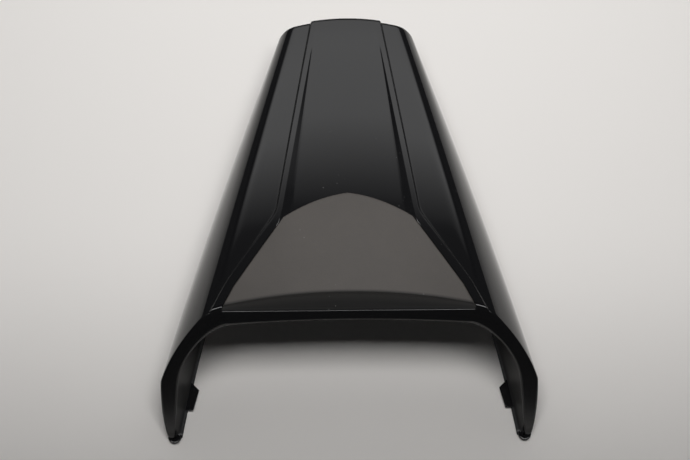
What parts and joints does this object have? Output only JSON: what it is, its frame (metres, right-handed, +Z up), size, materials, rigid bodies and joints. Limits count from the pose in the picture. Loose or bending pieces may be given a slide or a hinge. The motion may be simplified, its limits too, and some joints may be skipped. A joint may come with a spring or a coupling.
{
  "type": "motorbike seat cowl",
  "caption": "Tapered hollow cowl that covers the rear seat of a motorbike, with sloping wings, an arched open front on long side arms and a soft back pad set in its roof.",
  "frame": {"origin": "bottom centre of the part's box, on the plane of the lower lip", "axes": "+X across to the right arm, +Y along the cowl to its tail, +Z up through the roof"},
  "size_m": [0.2645, 0.2976, 0.0989],
  "materials": {
    "gloss_shell": "gloss black moulding",
    "matte_pad": "matte black, fine grain"
  },
  "bodies": {
    "root": {"cowl_shell": "gloss_shell", "back_pad": "matte_pad"}
  },
  "joints": []
}
